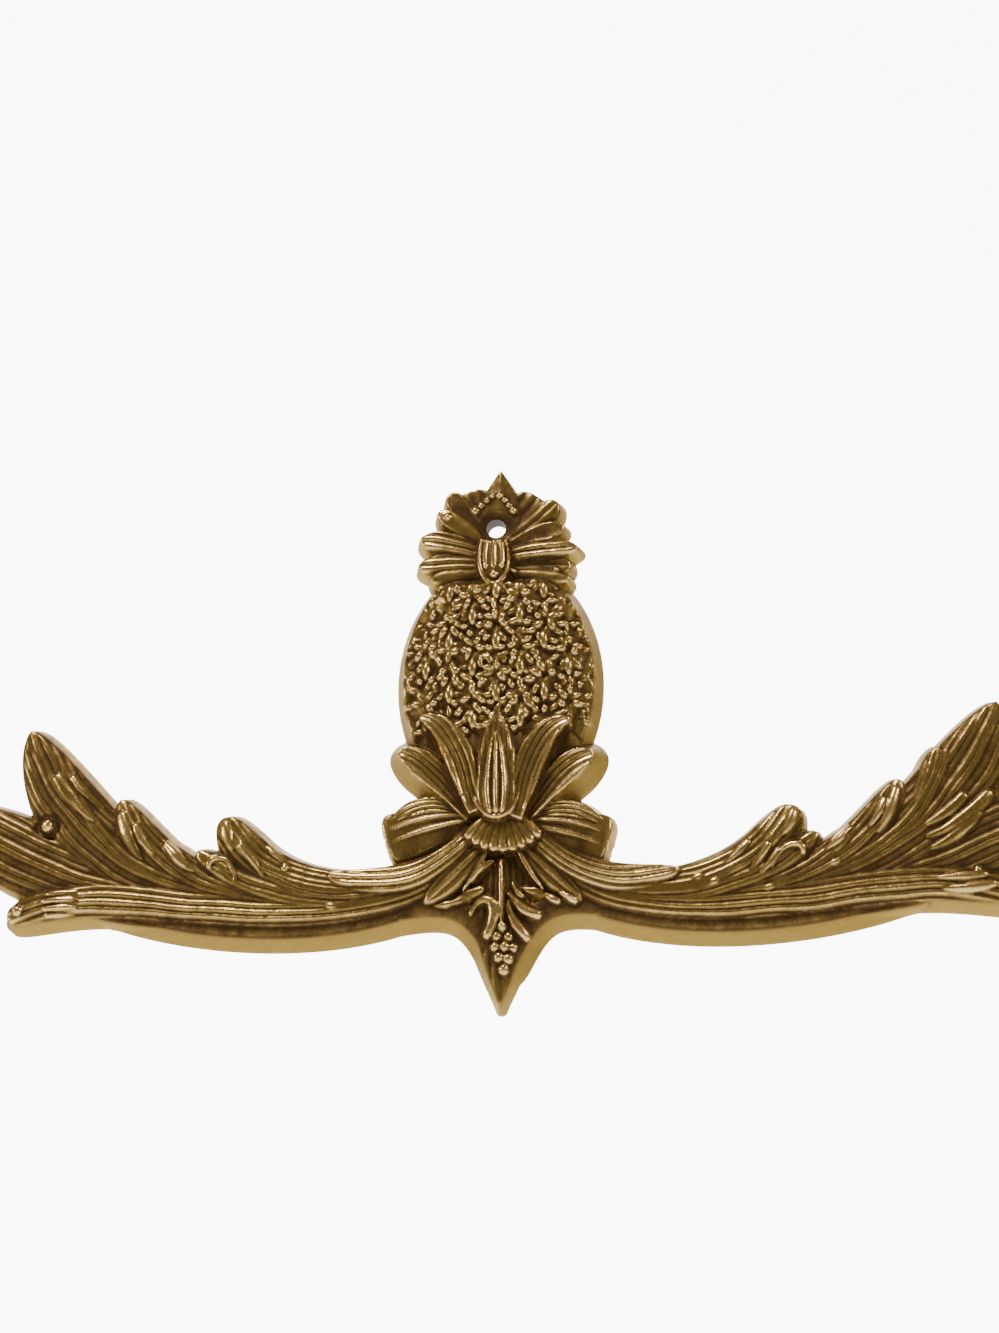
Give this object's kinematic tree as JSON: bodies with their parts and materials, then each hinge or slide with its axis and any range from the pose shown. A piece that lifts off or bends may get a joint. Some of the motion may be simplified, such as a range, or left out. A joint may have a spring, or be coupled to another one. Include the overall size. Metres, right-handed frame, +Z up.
{
  "type": "pineapple wall pediment",
  "caption": "Flat-backed cast wall ornament: a pineapple with a leafy crown and calyx between two spreading acanthus wings, with a pointed drop below and a nail hole above.",
  "frame": {"origin": "on the flat back, in the wall plane, behind the middle of the fruit", "axes": "+X to the right along the wings as seen from the front, +Y into the wall, +Z up; the relief faces -Y"},
  "size_m": [0.2995, 0.0128, 0.1463],
  "materials": {
    "brass": "cast and rubbed, bright on the crests, brown patina in the hollows, bare pale side walls"
  },
  "bodies": {
    "root": {"pineapple_pediment": "brass"}
  },
  "joints": []
}
